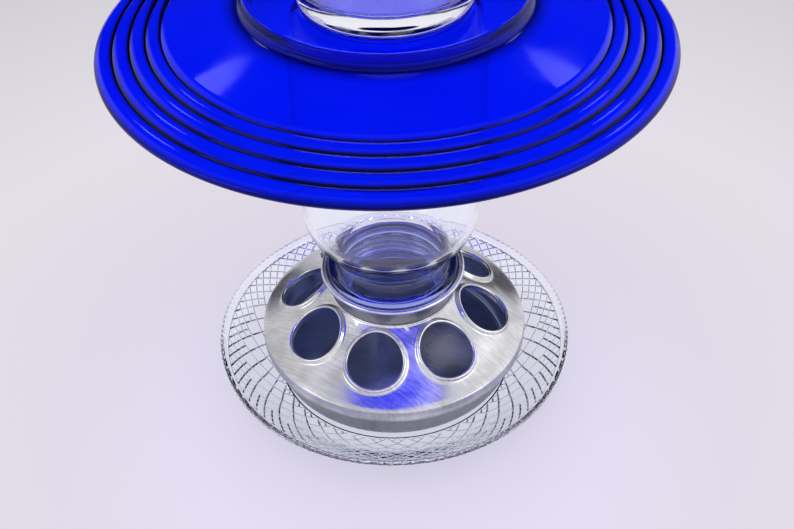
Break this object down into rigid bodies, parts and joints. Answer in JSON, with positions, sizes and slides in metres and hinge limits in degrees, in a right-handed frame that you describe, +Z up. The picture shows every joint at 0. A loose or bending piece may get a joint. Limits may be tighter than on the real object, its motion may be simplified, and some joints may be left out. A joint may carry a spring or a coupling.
{
  "type": "bird feeder",
  "caption": "Free-standing bird feeder: a galvanised trough with a holed lid on a pressed glass plate, an upturned glass jar in its collar, and a blue glass roof plate with a dish.",
  "frame": {"origin": "middle of the base plate's foot, on the table", "axes": "+Z up along the axis of the jar, +Y away from the picture's camera"},
  "size_m": [0.286, 0.286, 0.3023],
  "materials": {
    "pressed_glass": "clear, pressed diamonds",
    "galvanised_steel": "satin galvanised",
    "jar_glass": "clear",
    "cobalt_glass": "deep cobalt blue",
    "clear_adhesive": "clear, set silicone",
    "dish_glass": "clear"
  },
  "bodies": {
    "stand": {"base_plate": "pressed_glass", "feeder_pan": "galvanised_steel"},
    "lid": {"feeder_lid": "galvanised_steel", "jar_collar": "galvanised_steel"},
    "jar": {"glass_jar": "jar_glass", "jar_bond": "clear_adhesive", "roof_plate": "cobalt_glass", "dish_bond": "clear_adhesive", "top_dish": "dish_glass"}
  },
  "joints": [
    {"name": "lid_lift", "type": "slide", "parent": "stand", "child": "lid", "axis": [0, 0, 1], "range_m": [0, 0.08]},
    {"name": "jar_lift", "type": "slide", "parent": "lid", "child": "jar", "axis": [0, 0, 1], "range_m": [0, 0.08]}
  ]
}
